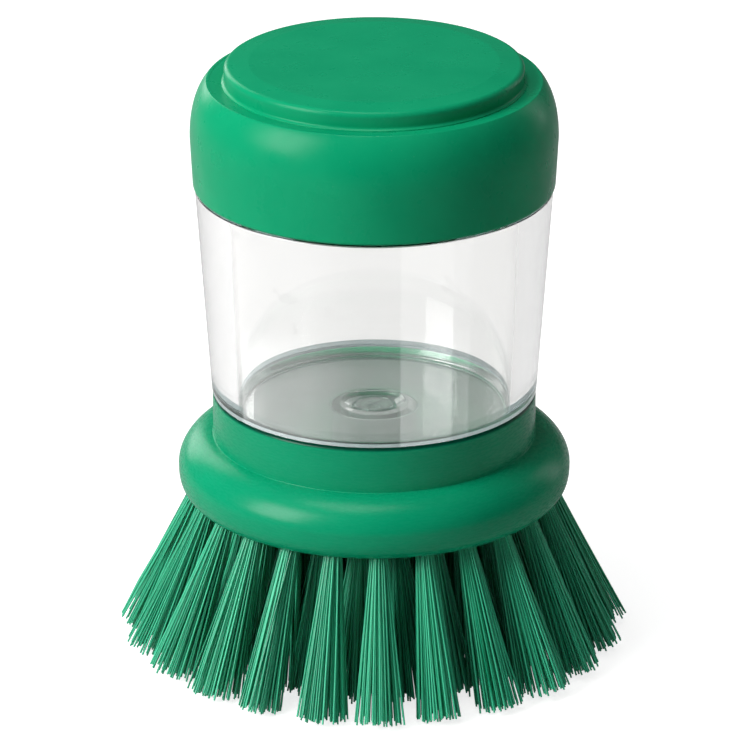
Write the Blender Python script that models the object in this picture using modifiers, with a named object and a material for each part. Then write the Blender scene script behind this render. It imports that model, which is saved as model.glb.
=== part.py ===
"""A round dish brush with a soap container, modelled piece by piece.

Units are metres and +Z is up. The origin is on the axis of the brush, level with the tips of the bristles.
"""

import math

import bmesh
import bpy
from mathutils import Matrix, Vector

OBJECT_NAME = "soap_dispensing_brush"
CUTTERS_NAME = "cutters"

# Clearances and cut overruns
FIT_GAP = 0.0003
OVERRUN = 0.0010
MERGE_DISTANCE = 0.00001

# Facets of the round pieces
ROUND_STEPS = 48
SMALL_STEPS = 24
RING_SIDES = 8
SHARP_ANGLE = math.radians(32)

# Clear container: its foot's radius sets the radii of all that is fitted to it
FOOT_RADIUS = 0.02685
BODY_TAPER = 0.0024
BODY_HEIGHT = 0.0354
BODY_WALL = 0.00455
BODY_EDGE = 0.0004
SHOULDER_WIDTH = 0.00225
NECK_HEIGHT = 0.0080
NECK_WALL = 0.0032
FLOOR_SINK = 0.0013
FLOOR_THICKNESS = 0.0022
FLOOR_FILLET = 0.0011
FLOOR_FILLET_RISE = 0.0016
FILLET_STEPS = 4
SPIGOT_STEP = 0.00285
SPIGOT_WALL = 0.0016
SPIGOT_CLEARANCE = 0.00145
NOZZLE_RADIUS = 0.0069
NOZZLE_WALL = 0.0013
NOZZLE_DIP = 0.0016
OUTLET_RIM_WIDTH = 0.0016
OUTLET_RIM_DROP = 0.0008

# Outlet valve and its retaining ring
VALVE_SEAT_WIDTH = 0.0020
VALVE_SEAT_DEPTH = 0.0018
VALVE_RECESS = 0.0005
VALVE_DOME = 0.00015
VALVE_MEMBRANE = 0.0007
VALVE_WALL = 0.0011
VALVE_FLANGE_THICKNESS = 0.0010
VALVE_SLIT_MARGIN = 0.0006
VALVE_SLIT_WIDTH = 0.00025
RETAINER_HEIGHT = 0.0024
RETAINER_WALL = 0.0017
RETAINER_EDGE = 0.0003

# Quick thread between the head and the container
THREAD_LEAD = 0.0080
THREAD_STARTS = 2
THREAD_TURN = math.radians(150)
THREAD_DEPTH = 0.0010
THREAD_PLAY = 0.0004
THREAD_BITE = 0.0003
THREAD_ROOT_WIDTH = 0.0016
THREAD_CREST_WIDTH = 0.0008
THREAD_FLANK_GAP = 0.0001
THREAD_END_GAP = 0.0003

# Neck seal, an O-ring in a groove of the spigot
SEAL_GROOVE_DEPTH = 0.0010
SEAL_LAND = 0.0004

# Brush head: a collar over a rounded bead, with a drilled plate below
UNDERSIDE_HEIGHT = 0.02565
BEAD_INSET = 0.00013
BEAD_REACH = 0.00593
BEAD_RISE = 0.00536
BEAD_DROP = 0.00499
BEAD_UPPER_POWER = 1.80
BEAD_LOWER_POWER = 3.07
BEAD_STEPS = 6
BEAD_FIRST_ANGLE = math.radians(80)
COLLAR_STEP = 0.0001
COLLAR_HEIGHT = 0.00770
COLLAR_EDGE = 0.0005
COLLAR_FILLET = 0.0004
PLATE_THICKNESS = 0.0075
NOZZLE_PLAY = 0.0007
OUTLET_CHAMFER = 0.0006

# Rubber cap
CAP_OVERHANG = 0.0003
CAP_FLARE = 0.00041
CAP_LIP_EDGE = 0.0004
CAP_SKIRT_HEIGHT = 0.00825
DOME_REACH = 0.00622
DOME_RISE = 0.01086
DOME_POWER = 2.2
DOME_TOP_ANGLE = math.radians(58)
DOME_STEPS = 7
LEDGE_WIDTH = 0.0005
LEDGE_THICKNESS = 0.0030

# Press button and the web round it
WEB_WIDTH = 0.0014
WEB_THICKNESS = 0.0009
WEB_SINK = 0.0001
BUTTON_HEIGHT = 0.0032
BUTTON_SLOPE_WIDTH = 0.0078
BUTTON_EDGE_DROP = 0.00035
BUTTON_EDGE = 0.0005
BUTTON_FOOT_FILLET = 0.0004
BUTTON_FOOT_DEPTH = 0.0010
BUTTON_SKIN = 0.0023
BUTTON_WALL = 0.0022
BUTTON_CROWN_SHARES = ((0.55, 0.20), (0.85, 0.58), (1.0, 1.0))

# Tufts: a plug in a hole, with splayed strands
STRAND_RADIUS = 0.00038
STRAND_BITE = 0.0008
STRAND_RING_SHARE = 0.67
TIP_FLAT_DEPTH = 0.0005
PLUG_RADIUS = 0.0015
PLUG_SINK = 0.0006
PLUG_SIDES = 8
HOLE_FLOOR = 0.0018
OUTER_COUNT = 24
OUTER_ROW_OFFSET = 0.00198
OUTER_TILT = math.radians(21)
OUTER_FAN_OUT = math.radians(10.5)
OUTER_FAN_SIDE = math.radians(6)
OUTER_STRANDS = 8
OUTER_SIDES = 4
MIDDLE_COUNT = 24
MIDDLE_ROW_STEP = 0.0060
MIDDLE_TILT = math.radians(13)
MIDDLE_FAN_OUT = math.radians(6)
MIDDLE_FAN_SIDE = math.radians(6)
MIDDLE_STRANDS = 7
MIDDLE_SIDES = 3
INNER_COUNT = 12
INNER_GROUPS = 4
INNER_ROW_STEP = 0.0071
INNER_TILT = math.radians(5)
INNER_FAN = math.radians(6)
INNER_STRANDS = 6
INNER_SIDES = 3
INNER_SLICE_STEPS = 10
FRONT_ANGLE = math.radians(-90)
FIRST_TUFT_ANGLE = math.radians(1.5)

# Radii worked out from the sizes above
SHOULDER_RADIUS = FOOT_RADIUS + BODY_TAPER
NECK_RADIUS = SHOULDER_RADIUS - SHOULDER_WIDTH
FLOOR_RADIUS = FOOT_RADIUS - BODY_WALL
SPIGOT_RADIUS = FOOT_RADIUS - SPIGOT_STEP
NOZZLE_BORE_RADIUS = NOZZLE_RADIUS - NOZZLE_WALL
OUTLET_HOLE_RADIUS = NOZZLE_BORE_RADIUS - VALVE_SEAT_WIDTH
SEAL_RING_RADIUS = (THREAD_DEPTH + THREAD_PLAY + SEAL_GROOVE_DEPTH) / 2 - FIT_GAP
COLLAR_RADIUS = FOOT_RADIUS - COLLAR_STEP
COLLAR_BORE_RADIUS = SPIGOT_RADIUS + THREAD_DEPTH + THREAD_PLAY
BEAD_CENTRE_RADIUS = COLLAR_RADIUS - BEAD_INSET
OUTLET_RADIUS = NOZZLE_RADIUS + NOZZLE_PLAY
OUTER_RADIUS = BEAD_CENTRE_RADIUS + OUTER_ROW_OFFSET
MIDDLE_RADIUS = OUTER_RADIUS - MIDDLE_ROW_STEP
INNER_RADIUS = MIDDLE_RADIUS - INNER_ROW_STEP
CAP_LIP_RADIUS = SHOULDER_RADIUS + CAP_OVERHANG
CAP_MAX_RADIUS = CAP_LIP_RADIUS + CAP_FLARE

# Heights worked out from the sizes above
BEAD_EQUATOR = UNDERSIDE_HEIGHT + BEAD_DROP
COLLAR_ROOT = BEAD_EQUATOR + BEAD_RISE
COLLAR_TOP = COLLAR_ROOT + COLLAR_HEIGHT
PLATE_TOP = UNDERSIDE_HEIGHT + PLATE_THICKNESS
PLUG_DEPTH = PLATE_THICKNESS - PLUG_SINK - FIT_GAP - HOLE_FLOOR
FOOT_HEIGHT = COLLAR_TOP + FIT_GAP
SHOULDER_HEIGHT = FOOT_HEIGHT + BODY_HEIGHT
LIP_HEIGHT = SHOULDER_HEIGHT + FIT_GAP
DOME_BASE = LIP_HEIGHT + CAP_SKIRT_HEIGHT
SPIGOT_LENGTH = FOOT_HEIGHT - PLATE_TOP - SPIGOT_CLEARANCE
SPIGOT_THREAD_HEIGHT = FOOT_HEIGHT - SPIGOT_LENGTH + THREAD_ROOT_WIDTH / 2 + THREAD_END_GAP
COLLAR_THREAD_HEIGHT = SPIGOT_THREAD_HEIGHT + (THREAD_ROOT_WIDTH + THREAD_CREST_WIDTH) / 2 + THREAD_FLANK_GAP
SEAL_GROOVE_HEIGHT = 2 * (SEAL_RING_RADIUS + FIT_GAP)


def superellipse(centre, reach, rise, power, start, end, steps):
    """Points from angle start to angle end on a rounded-square curve round centre, as (radius, height)."""
    points = []
    for step in range(steps + 1):
        angle = start + (end - start) * step / steps
        across = math.copysign(abs(math.cos(angle)) ** (2 / power), math.cos(angle))
        up = math.copysign(abs(math.sin(angle)) ** (2 / power), math.sin(angle))
        points.append((centre[0] + reach * across, centre[1] + rise * up))
    return points


CREST_RADIUS, CREST_HEIGHT = superellipse(
    (CAP_MAX_RADIUS - DOME_REACH, DOME_BASE), DOME_REACH, DOME_RISE, DOME_POWER, DOME_TOP_ANGLE, 0, 1
)[0]
CAP_RIM_RADIUS = CREST_RADIUS - LEDGE_WIDTH
BUTTON_FOOT_RADIUS = CAP_RIM_RADIUS - WEB_WIDTH - 2 * FIT_GAP
BUTTON_RADIUS = BUTTON_FOOT_RADIUS - BUTTON_FOOT_FILLET
BUTTON_FLAT_RADIUS = BUTTON_RADIUS - BUTTON_SLOPE_WIDTH


def clear_scene():
    """Removes what the scene holds, so that the script can run again."""
    for old in list(bpy.data.objects):
        bpy.data.objects.remove(old, do_unlink=True)
    for name in (OBJECT_NAME, CUTTERS_NAME):
        if name in bpy.data.collections:
            bpy.data.collections.remove(bpy.data.collections[name])


def collection(name):
    """A new collection in the scene."""
    made = bpy.data.collections.new(name)
    bpy.context.scene.collection.children.link(made)
    return made


def plastic(name, colour, roughness, alpha=1.0):
    """A Principled material of one colour, clear where alpha is below 1."""
    made = bpy.data.materials.new(name)
    made.use_nodes = True
    shader = made.node_tree.nodes["Principled BSDF"]
    shader.inputs["Base Color"].default_value = (*colour, 1.0)
    shader.inputs["Roughness"].default_value = roughness
    shader.inputs["Metallic"].default_value = 0.0
    shader.inputs["Alpha"].default_value = alpha
    made.diffuse_color = (*colour, alpha)
    return made


def add_object(name, mesh, home, material=None):
    """An object for a mesh in a collection, shaded smooth up to the sharp angle."""
    made = bpy.data.objects.new(name, mesh)
    home.objects.link(made)
    if mesh.polygons:
        mesh.shade_smooth()
        mesh.set_sharp_from_angle(angle=SHARP_ANGLE)
    if material is not None and not mesh.materials:
        mesh.materials.append(material)
    return made


def turned(name, outline, home, material, steps=ROUND_STEPS, ring=True):
    """A turned piece: its outline runs down the outer side, and a ring's outline closes on itself."""
    mesh = bpy.data.meshes.new(name)
    links = [(i, i + 1) for i in range(len(outline) - 1)]
    if ring:
        links.append((len(outline) - 1, 0))
    mesh.from_pydata([(radius, 0, height) for radius, height in outline], links, [])
    made = add_object(name, mesh, home, material)
    screw = made.modifiers.new("turn", "SCREW")
    screw.axis = "Z"
    screw.steps = steps
    screw.render_steps = steps
    screw.use_merge_vertices = True
    screw.merge_threshold = MERGE_DISTANCE
    screw.use_smooth_shade = True
    return made


def cutter(name, mesh, home):
    """A hidden helper object for a Boolean."""
    made = add_object(name, mesh, home)
    made.hide_render = True
    made.display_type = "WIRE"
    return made


def add_boolean(target, operation, tool):
    """A Boolean modifier on target."""
    made = target.modifiers.new(operation.lower(), "BOOLEAN")
    made.operation = operation
    made.object = tool


def mesh_from(name, shape):
    """The mesh of a bmesh, with its faces turned outwards."""
    bmesh.ops.recalc_face_normals(shape, faces=shape.faces)
    mesh = bpy.data.meshes.new(name)
    shape.to_mesh(mesh)
    shape.free()
    return mesh


def fused(name, base, added, home):
    """One mesh from the Boolean union of two."""
    base_object = add_object(name + "_base", base, home)
    added_object = add_object(name + "_added", added, home)
    add_boolean(base_object, "UNION", added_object)
    bpy.context.view_layer.update()
    evaluated = base_object.evaluated_get(bpy.context.evaluated_depsgraph_get())
    mesh = bpy.data.meshes.new_from_object(evaluated)
    mesh.name = name
    bpy.data.objects.remove(base_object, do_unlink=True)
    bpy.data.objects.remove(added_object, do_unlink=True)
    return mesh


def thread_mesh(name, root_radius, crest_radius, lowest):
    """The helical ridges of a thread, one for each start, climbing from the height lowest."""
    shape = bmesh.new()
    steps = round(ROUND_STEPS * THREAD_TURN / (2 * math.pi))
    climb = THREAD_LEAD * THREAD_TURN / (2 * math.pi) / steps
    section = (
        (root_radius, -THREAD_ROOT_WIDTH / 2),
        (crest_radius, -THREAD_CREST_WIDTH / 2),
        (crest_radius, THREAD_CREST_WIDTH / 2),
        (root_radius, THREAD_ROOT_WIDTH / 2),
    )
    for start in range(THREAD_STARTS):
        corners = [shape.verts.new((radius, 0, lowest + height)) for radius, height in section]
        face = shape.faces.new(corners)
        turn = Matrix.Rotation(2 * math.pi * start / THREAD_STARTS, 4, "Z")
        bmesh.ops.transform(shape, matrix=turn, verts=corners)
        bmesh.ops.spin(
            shape,
            geom=[face, *face.edges, *face.verts],
            cent=(0, 0, 0),
            axis=(0, 0, 1),
            dvec=(0, 0, climb),
            angle=THREAD_TURN,
            steps=steps,
        )
    return mesh_from(name, shape)


# Tufts


def tuft_frame(radius, tilt, angle=0.0):
    """The frame of a tuft whose root is on the underside: +Z runs down along it, and +X points inwards."""
    lean = Matrix.Translation((radius, 0, UNDERSIDE_HEIGHT)) @ Matrix.Rotation(math.pi - tilt, 4, "Y")
    return Matrix.Rotation(angle, 4, "Z") @ lean


def add_rod(shape, frame, radius, low, high, sides):
    """A prism along the frame's Z, from low to high, and its far end's corners."""
    made = bmesh.ops.create_cone(
        shape, cap_ends=True, segments=sides, radius1=radius, radius2=radius, depth=high - low
    )
    ends = [vertex for vertex in made["verts"] if vertex.co.z > 0]
    place = frame @ Matrix.Translation((0, 0, (low + high) / 2))
    bmesh.ops.transform(shape, matrix=place, verts=made["verts"])
    return ends


def add_strands(shape, frame, count, tilt, fan_out, fan_side, sides):
    """The strands of one tuft, splayed from its root, with the tips that reach the table cut flat on it."""
    length = UNDERSIDE_HEIGHT / math.cos(tilt) + TIP_FLAT_DEPTH
    for strand in range(count):
        turn = 2 * math.pi * strand / (count - 1)
        spread = STRAND_RING_SHARE if strand < count - 1 else 0
        across = spread * math.cos(turn)
        aside = spread * math.sin(turn)
        lean = Vector((math.tan(fan_out * across), math.tan(fan_side * aside), 1))
        aim = Vector((0, 0, 1)).rotation_difference(lean).to_matrix().to_4x4()
        place = frame @ Matrix.Translation((PLUG_RADIUS * across, PLUG_RADIUS * aside, 0)) @ aim
        ends = add_rod(shape, place, STRAND_RADIUS, -PLUG_SINK - STRAND_BITE, length, sides)
        along = place.to_3x3() @ Vector((0, 0, 1))
        if min(vertex.co.z for vertex in ends) < 0:
            for vertex in ends:
                vertex.co -= along * (vertex.co.z / along.z)


def tuft_mesh(name, home, radius, tilt, fan_out, fan_side, count, sides):
    """One tuft of a row: its plug and strands as one body, at angle zero."""
    frame = tuft_frame(radius, tilt)
    plug = bmesh.new()
    add_rod(plug, frame, PLUG_RADIUS, -PLUG_SINK - PLUG_DEPTH, -PLUG_SINK, PLUG_SIDES)
    strands = bmesh.new()
    add_strands(strands, frame, count, tilt, fan_out, fan_side, sides)
    return fused(name, mesh_from(name + "_plug", plug), mesh_from(name + "_strands", strands), home)


def row_angle(index, count):
    """The angle of a tuft in a row, counted from the first tuft at the front."""
    return FRONT_ANGLE + FIRST_TUFT_ANGLE + 2 * math.pi * index / count


def tuft_row(name, mesh, count, phase, home, material):
    """A row of tufts, each its own object, sharing one mesh."""
    mesh.materials.clear()
    mesh.materials.append(material)
    for index in range(count):
        made = add_object(f"{name}_{index + 1:02d}", mesh, home)
        made.rotation_euler = (0, 0, row_angle(index + phase, count))


def inner_slice(shape, gap, low):
    """The curved slice of backing of one inner group, from low up and wider by gap, centred on angle zero."""
    pitch = 2 * math.pi / INNER_COUNT
    tufts = INNER_COUNT // INNER_GROUPS
    half = PLUG_RADIUS + gap
    high = UNDERSIDE_HEIGHT + PLUG_SINK + PLUG_DEPTH + gap
    sweep = pitch * (tufts - 1) + 2 * half / INNER_RADIUS
    corners = [
        shape.verts.new((radius, 0, height))
        for radius, height in (
            (INNER_RADIUS - half, low),
            (INNER_RADIUS + half, low),
            (INNER_RADIUS + half, high),
            (INNER_RADIUS - half, high),
        )
    ]
    face = shape.faces.new(corners)
    bmesh.ops.transform(shape, matrix=Matrix.Rotation(-sweep / 2, 4, "Z"), verts=corners)
    bmesh.ops.spin(
        shape,
        geom=[face, *face.edges, *face.verts],
        cent=(0, 0, 0),
        axis=(0, 0, 1),
        angle=sweep,
        steps=INNER_SLICE_STEPS,
    )


def inner_groups(home, material):
    """The inner row: groups of tufts that share a slice of backing."""
    pitch = 2 * math.pi / INNER_COUNT
    tufts = INNER_COUNT // INNER_GROUPS
    backing = bmesh.new()
    inner_slice(backing, 0, UNDERSIDE_HEIGHT + PLUG_SINK)
    strands = bmesh.new()
    for tuft in range(tufts):
        frame = tuft_frame(INNER_RADIUS, INNER_TILT, pitch * (tuft - (tufts - 1) / 2))
        add_strands(strands, frame, INNER_STRANDS, INNER_TILT, INNER_FAN, INNER_FAN, INNER_SIDES)
    backing_mesh = mesh_from("inner_backing", backing)
    mesh = fused("inner_tufts", backing_mesh, mesh_from("inner_strands", strands), home)
    mesh.materials.clear()
    mesh.materials.append(material)
    for group in range(INNER_GROUPS):
        made = add_object(f"inner_tufts_{group + 1}", mesh, home)
        made.rotation_euler = (0, 0, row_angle(group, INNER_GROUPS))


def drill_mesh():
    """All the tuft holes of the head as one cutter."""
    shape = bmesh.new()
    rows = (
        (OUTER_COUNT, OUTER_RADIUS, OUTER_TILT, 0),
        (MIDDLE_COUNT, MIDDLE_RADIUS, MIDDLE_TILT, 0.5),
    )
    for count, radius, tilt, phase in rows:
        for index in range(count):
            frame = tuft_frame(radius, tilt, row_angle(index + phase, count))
            deepest = -PLUG_SINK - PLUG_DEPTH - FIT_GAP
            add_rod(shape, frame, PLUG_RADIUS + FIT_GAP, deepest, PLUG_RADIUS + OVERRUN, PLUG_SIDES)
    for group in range(INNER_GROUPS):
        before = set(shape.verts)
        inner_slice(shape, FIT_GAP, UNDERSIDE_HEIGHT - OVERRUN)
        made = [vertex for vertex in shape.verts if vertex not in before]
        turn = Matrix.Rotation(row_angle(group, INNER_GROUPS), 4, "Z")
        bmesh.ops.transform(shape, matrix=turn, verts=made)
    return mesh_from("tuft_holes", shape)


# Head, container, cap and button


def brush_head(home, cutters, material):
    """The green head: a threaded collar, a rounded bead and a drilled plate with the soap outlet."""
    bead = (BEAD_CENTRE_RADIUS, BEAD_EQUATOR)
    outline = [
        (COLLAR_RADIUS - COLLAR_EDGE, COLLAR_TOP),
        (COLLAR_RADIUS, COLLAR_TOP - COLLAR_EDGE),
        (COLLAR_RADIUS, COLLAR_ROOT + COLLAR_FILLET),
    ]
    outline += superellipse(bead, BEAD_REACH, BEAD_RISE, BEAD_UPPER_POWER, BEAD_FIRST_ANGLE, 0, BEAD_STEPS)
    lower = superellipse(bead, BEAD_REACH, BEAD_DROP, BEAD_LOWER_POWER, 0, -math.pi / 2, BEAD_STEPS)
    outline += lower[1:]
    outline += [
        (OUTLET_RADIUS + OUTLET_CHAMFER, UNDERSIDE_HEIGHT),
        (OUTLET_RADIUS, UNDERSIDE_HEIGHT + OUTLET_CHAMFER),
        (OUTLET_RADIUS, PLATE_TOP),
        (COLLAR_BORE_RADIUS, PLATE_TOP),
        (COLLAR_BORE_RADIUS, COLLAR_TOP - COLLAR_EDGE),
        (COLLAR_BORE_RADIUS + COLLAR_EDGE, COLLAR_TOP),
    ]
    made = turned("brush_head", outline, home, material)
    root = COLLAR_BORE_RADIUS + THREAD_BITE
    crest = COLLAR_BORE_RADIUS - THREAD_DEPTH
    ridges = thread_mesh("head_thread", root, crest, COLLAR_THREAD_HEIGHT)
    add_boolean(made, "UNION", cutter("head_thread", ridges, cutters))
    add_boolean(made, "DIFFERENCE", cutter("tuft_holes", drill_mesh(), cutters))
    return made


def container(home, cutters, material):
    """The clear container: a tapered body with a neck, a thick floor, a threaded spigot and a nozzle."""
    shoulder = BODY_HEIGHT
    neck_top = shoulder + NECK_HEIGHT
    neck_bore = NECK_RADIUS - NECK_WALL
    groove_top = -SEAL_LAND
    groove_low = groove_top - SEAL_GROOVE_HEIGHT
    groove_radius = SPIGOT_RADIUS - SEAL_GROOVE_DEPTH
    spigot_bore = SPIGOT_RADIUS - SPIGOT_WALL
    nozzle_low = PLATE_TOP - NOZZLE_DIP - FOOT_HEIGHT
    floor_top = -FLOOR_SINK
    floor_low = floor_top - FLOOR_THICKNESS
    seat = floor_top - VALVE_SEAT_DEPTH
    outline = [
        (NECK_RADIUS - BODY_EDGE, neck_top),
        (NECK_RADIUS, neck_top - BODY_EDGE),
        (NECK_RADIUS, shoulder),
        (SHOULDER_RADIUS - BODY_EDGE, shoulder),
        (SHOULDER_RADIUS, shoulder - BODY_EDGE),
        (FOOT_RADIUS, BODY_EDGE),
        (FOOT_RADIUS - BODY_EDGE, 0),
        (SPIGOT_RADIUS, 0),
        (SPIGOT_RADIUS, groove_top),
        (groove_radius, groove_top),
        (groove_radius, groove_low),
        (SPIGOT_RADIUS, groove_low),
        (SPIGOT_RADIUS, -SPIGOT_LENGTH),
        (spigot_bore, -SPIGOT_LENGTH),
        (spigot_bore, floor_low),
        (NOZZLE_RADIUS, floor_low),
        (NOZZLE_RADIUS, nozzle_low),
        (NOZZLE_BORE_RADIUS, nozzle_low),
        (NOZZLE_BORE_RADIUS, seat),
        (OUTLET_HOLE_RADIUS, seat),
        (OUTLET_HOLE_RADIUS, floor_top - OUTLET_RIM_DROP),
        (OUTLET_HOLE_RADIUS + OUTLET_RIM_WIDTH, floor_top),
    ]
    corner = (FLOOR_RADIUS - FLOOR_FILLET, floor_top + FLOOR_FILLET_RISE)
    outline += superellipse(corner, FLOOR_FILLET, FLOOR_FILLET_RISE, 2.0, -math.pi / 2, 0, FILLET_STEPS)
    outline += [(neck_bore, neck_top)]
    made = turned("container", outline, home, material)
    root = SPIGOT_RADIUS - THREAD_BITE
    crest = SPIGOT_RADIUS + THREAD_DEPTH
    ridge_mesh = thread_mesh("container_thread", root, crest, SPIGOT_THREAD_HEIGHT - FOOT_HEIGHT)
    ridges = cutter("container_thread", ridge_mesh, cutters)
    ridges.parent = made
    add_boolean(made, "UNION", ridges)
    made.location = (0, 0, FOOT_HEIGHT)
    return made


def neck_seal(home, material, parent):
    """The O-ring in the groove of the spigot."""
    centre = SPIGOT_RADIUS - SEAL_GROOVE_DEPTH + FIT_GAP + SEAL_RING_RADIUS
    bpy.ops.mesh.primitive_torus_add(
        major_radius=centre,
        minor_radius=SEAL_RING_RADIUS,
        major_segments=ROUND_STEPS,
        minor_segments=RING_SIDES,
    )
    made = bpy.context.active_object
    made.name = "neck_seal"
    for old in list(made.users_collection):
        old.objects.unlink(made)
    home.objects.link(made)
    made.data.shade_smooth()
    made.data.materials.append(material)
    made.parent = parent
    made.location = (0, 0, -SEAL_LAND - SEAL_GROOVE_HEIGHT / 2)
    return made


def outlet_valve(home, cutters, material, parent):
    """The soft valve: a slit disc in the floor's hole, with a flange under the floor."""
    disc = OUTLET_HOLE_RADIUS - FIT_GAP
    bore = disc - VALVE_WALL
    flange = NOZZLE_BORE_RADIUS - FIT_GAP
    top = -FLOOR_SINK - VALVE_RECESS
    flange_top = -FLOOR_SINK - VALVE_SEAT_DEPTH - FIT_GAP
    flange_low = flange_top - VALVE_FLANGE_THICKNESS
    outline = [
        (0, top),
        (disc / 2, top - VALVE_DOME / 4),
        (disc, top - VALVE_DOME),
        (disc, flange_top),
        (flange, flange_top),
        (flange, flange_low),
        (bore, flange_low),
        (bore, top - VALVE_MEMBRANE),
        (0, top - VALVE_MEMBRANE),
    ]
    made = turned("outlet_valve", outline, home, material, SMALL_STEPS, ring=False)
    slit = bmesh.new()
    bmesh.ops.create_cube(slit, size=1.0)
    length = 2 * (bore - VALVE_SLIT_MARGIN)
    size = Matrix.Diagonal((length, VALVE_SLIT_WIDTH, 2 * VALVE_MEMBRANE, 1))
    bmesh.ops.transform(slit, matrix=size, verts=slit.verts)
    slit_mesh = mesh_from("valve_slit", slit)
    for turn in (math.pi / 4, -math.pi / 4):
        tool = cutter("valve_slit", slit_mesh, cutters)
        tool.parent = made
        tool.location = (0, 0, top - VALVE_MEMBRANE / 2)
        tool.rotation_euler = (0, 0, turn)
        add_boolean(made, "DIFFERENCE", tool)
    made.parent = parent
    return made


def valve_retainer(home, material, parent):
    """The ring pushed up the nozzle to hold the valve."""
    outer = NOZZLE_BORE_RADIUS - FIT_GAP
    inner = outer - RETAINER_WALL
    outline = [
        (outer - RETAINER_EDGE, 0),
        (outer, -RETAINER_EDGE),
        (outer, RETAINER_EDGE - RETAINER_HEIGHT),
        (outer - RETAINER_EDGE, -RETAINER_HEIGHT),
        (inner, -RETAINER_HEIGHT),
        (inner, 0),
    ]
    made = turned("valve_retainer", outline, home, material, SMALL_STEPS)
    valve_low = -FLOOR_SINK - VALVE_SEAT_DEPTH - FIT_GAP - VALVE_FLANGE_THICKNESS
    made.parent = parent
    made.location = (0, 0, valve_low - FIT_GAP)
    return made


def cap_skirt(home, material, parent):
    """The domed rubber cap round the button, measured from its lip."""
    bore = NECK_RADIUS + FIT_GAP
    dome = (CAP_MAX_RADIUS - DOME_REACH, DOME_BASE - LIP_HEIGHT)
    crest = CREST_HEIGHT - LIP_HEIGHT
    outline = [(CAP_RIM_RADIUS, crest)]
    outline += superellipse(dome, DOME_REACH, DOME_RISE, DOME_POWER, DOME_TOP_ANGLE, 0, DOME_STEPS)
    outline += [
        (CAP_LIP_RADIUS, CAP_LIP_EDGE),
        (CAP_LIP_RADIUS - CAP_LIP_EDGE, 0),
        (bore, 0),
        (bore, NECK_HEIGHT + FIT_GAP),
        (CAP_RIM_RADIUS, crest - LEDGE_THICKNESS),
    ]
    made = turned("cap_skirt", outline, home, material)
    made.parent = parent
    made.location = (0, 0, LIP_HEIGHT - FOOT_HEIGHT)
    return made


def flex_web(home, material, parent):
    """The thin rubber ring between the cap and the button, measured from the cap's crest."""
    inner = BUTTON_FOOT_RADIUS + FIT_GAP
    outer = CAP_RIM_RADIUS - FIT_GAP
    outline = [
        (inner, -WEB_SINK),
        (outer, -WEB_SINK),
        (outer, -WEB_SINK - WEB_THICKNESS),
        (inner, -WEB_SINK - WEB_THICKNESS),
    ]
    made = turned("flex_web", outline, home, material)
    made.parent = parent
    made.location = (0, 0, CREST_HEIGHT - LIP_HEIGHT)
    return made


def press_button(home, material, parent):
    """The raised round button, measured from the cap's crest."""
    edge_top = BUTTON_HEIGHT - BUTTON_EDGE_DROP
    rim = BUTTON_RADIUS - BUTTON_EDGE
    outline = [(0, BUTTON_HEIGHT), (BUTTON_FLAT_RADIUS, BUTTON_HEIGHT)]
    outline += [
        (BUTTON_FLAT_RADIUS + (rim - BUTTON_FLAT_RADIUS) * across, BUTTON_HEIGHT - BUTTON_EDGE_DROP * down)
        for across, down in BUTTON_CROWN_SHARES
    ]
    outline += superellipse((rim, edge_top - BUTTON_EDGE), BUTTON_EDGE, BUTTON_EDGE, 2.0, math.pi / 4, 0, 1)
    outline += [
        (BUTTON_RADIUS, BUTTON_FOOT_FILLET - WEB_SINK),
        (BUTTON_FOOT_RADIUS, -WEB_SINK),
        (BUTTON_FOOT_RADIUS, -WEB_SINK - BUTTON_FOOT_DEPTH),
        (BUTTON_RADIUS - BUTTON_WALL, -WEB_SINK - BUTTON_FOOT_DEPTH),
        (BUTTON_RADIUS - BUTTON_WALL, BUTTON_HEIGHT - BUTTON_SKIN),
        (0, BUTTON_HEIGHT - BUTTON_SKIN),
    ]
    made = turned("press_button", outline, home, material, ring=False)
    made.parent = parent
    made.location = (0, 0, CREST_HEIGHT - LIP_HEIGHT)
    return made


def main():
    """Builds the brush from the tufts up."""
    clear_scene()
    home = collection(OBJECT_NAME)
    cutters = collection(CUTTERS_NAME)
    rubber = plastic("green_rubber", (0.0, 0.31, 0.14), 0.55)
    head_plastic = plastic("green_plastic", (0.0, 0.31, 0.15), 0.4)
    clear = plastic("clear_plastic", (0.92, 0.94, 0.94), 0.05, 0.3)
    soft_clear = plastic("clear_silicone", (0.85, 0.88, 0.87), 0.25, 0.5)
    seal_rubber = plastic("seal_rubber", (0.0, 0.24, 0.11), 0.6)
    fibre = plastic("green_bristle", (0.01, 0.36, 0.17), 0.3)

    brush_head(home, cutters, head_plastic)
    outer = tuft_mesh(
        "outer_tuft",
        home,
        OUTER_RADIUS,
        OUTER_TILT,
        OUTER_FAN_OUT,
        OUTER_FAN_SIDE,
        OUTER_STRANDS,
        OUTER_SIDES,
    )
    tuft_row("outer_tuft", outer, OUTER_COUNT, 0, home, fibre)
    middle = tuft_mesh(
        "middle_tuft",
        home,
        MIDDLE_RADIUS,
        MIDDLE_TILT,
        MIDDLE_FAN_OUT,
        MIDDLE_FAN_SIDE,
        MIDDLE_STRANDS,
        MIDDLE_SIDES,
    )
    tuft_row("middle_tuft", middle, MIDDLE_COUNT, 0.5, home, fibre)
    inner_groups(home, fibre)

    tumbler = container(home, cutters, clear)
    neck_seal(home, seal_rubber, tumbler)
    outlet_valve(home, cutters, soft_clear, tumbler)
    valve_retainer(home, clear, tumbler)
    cap = cap_skirt(home, rubber, tumbler)
    flex_web(home, rubber, cap)
    press_button(home, rubber, cap)


main()
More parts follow.
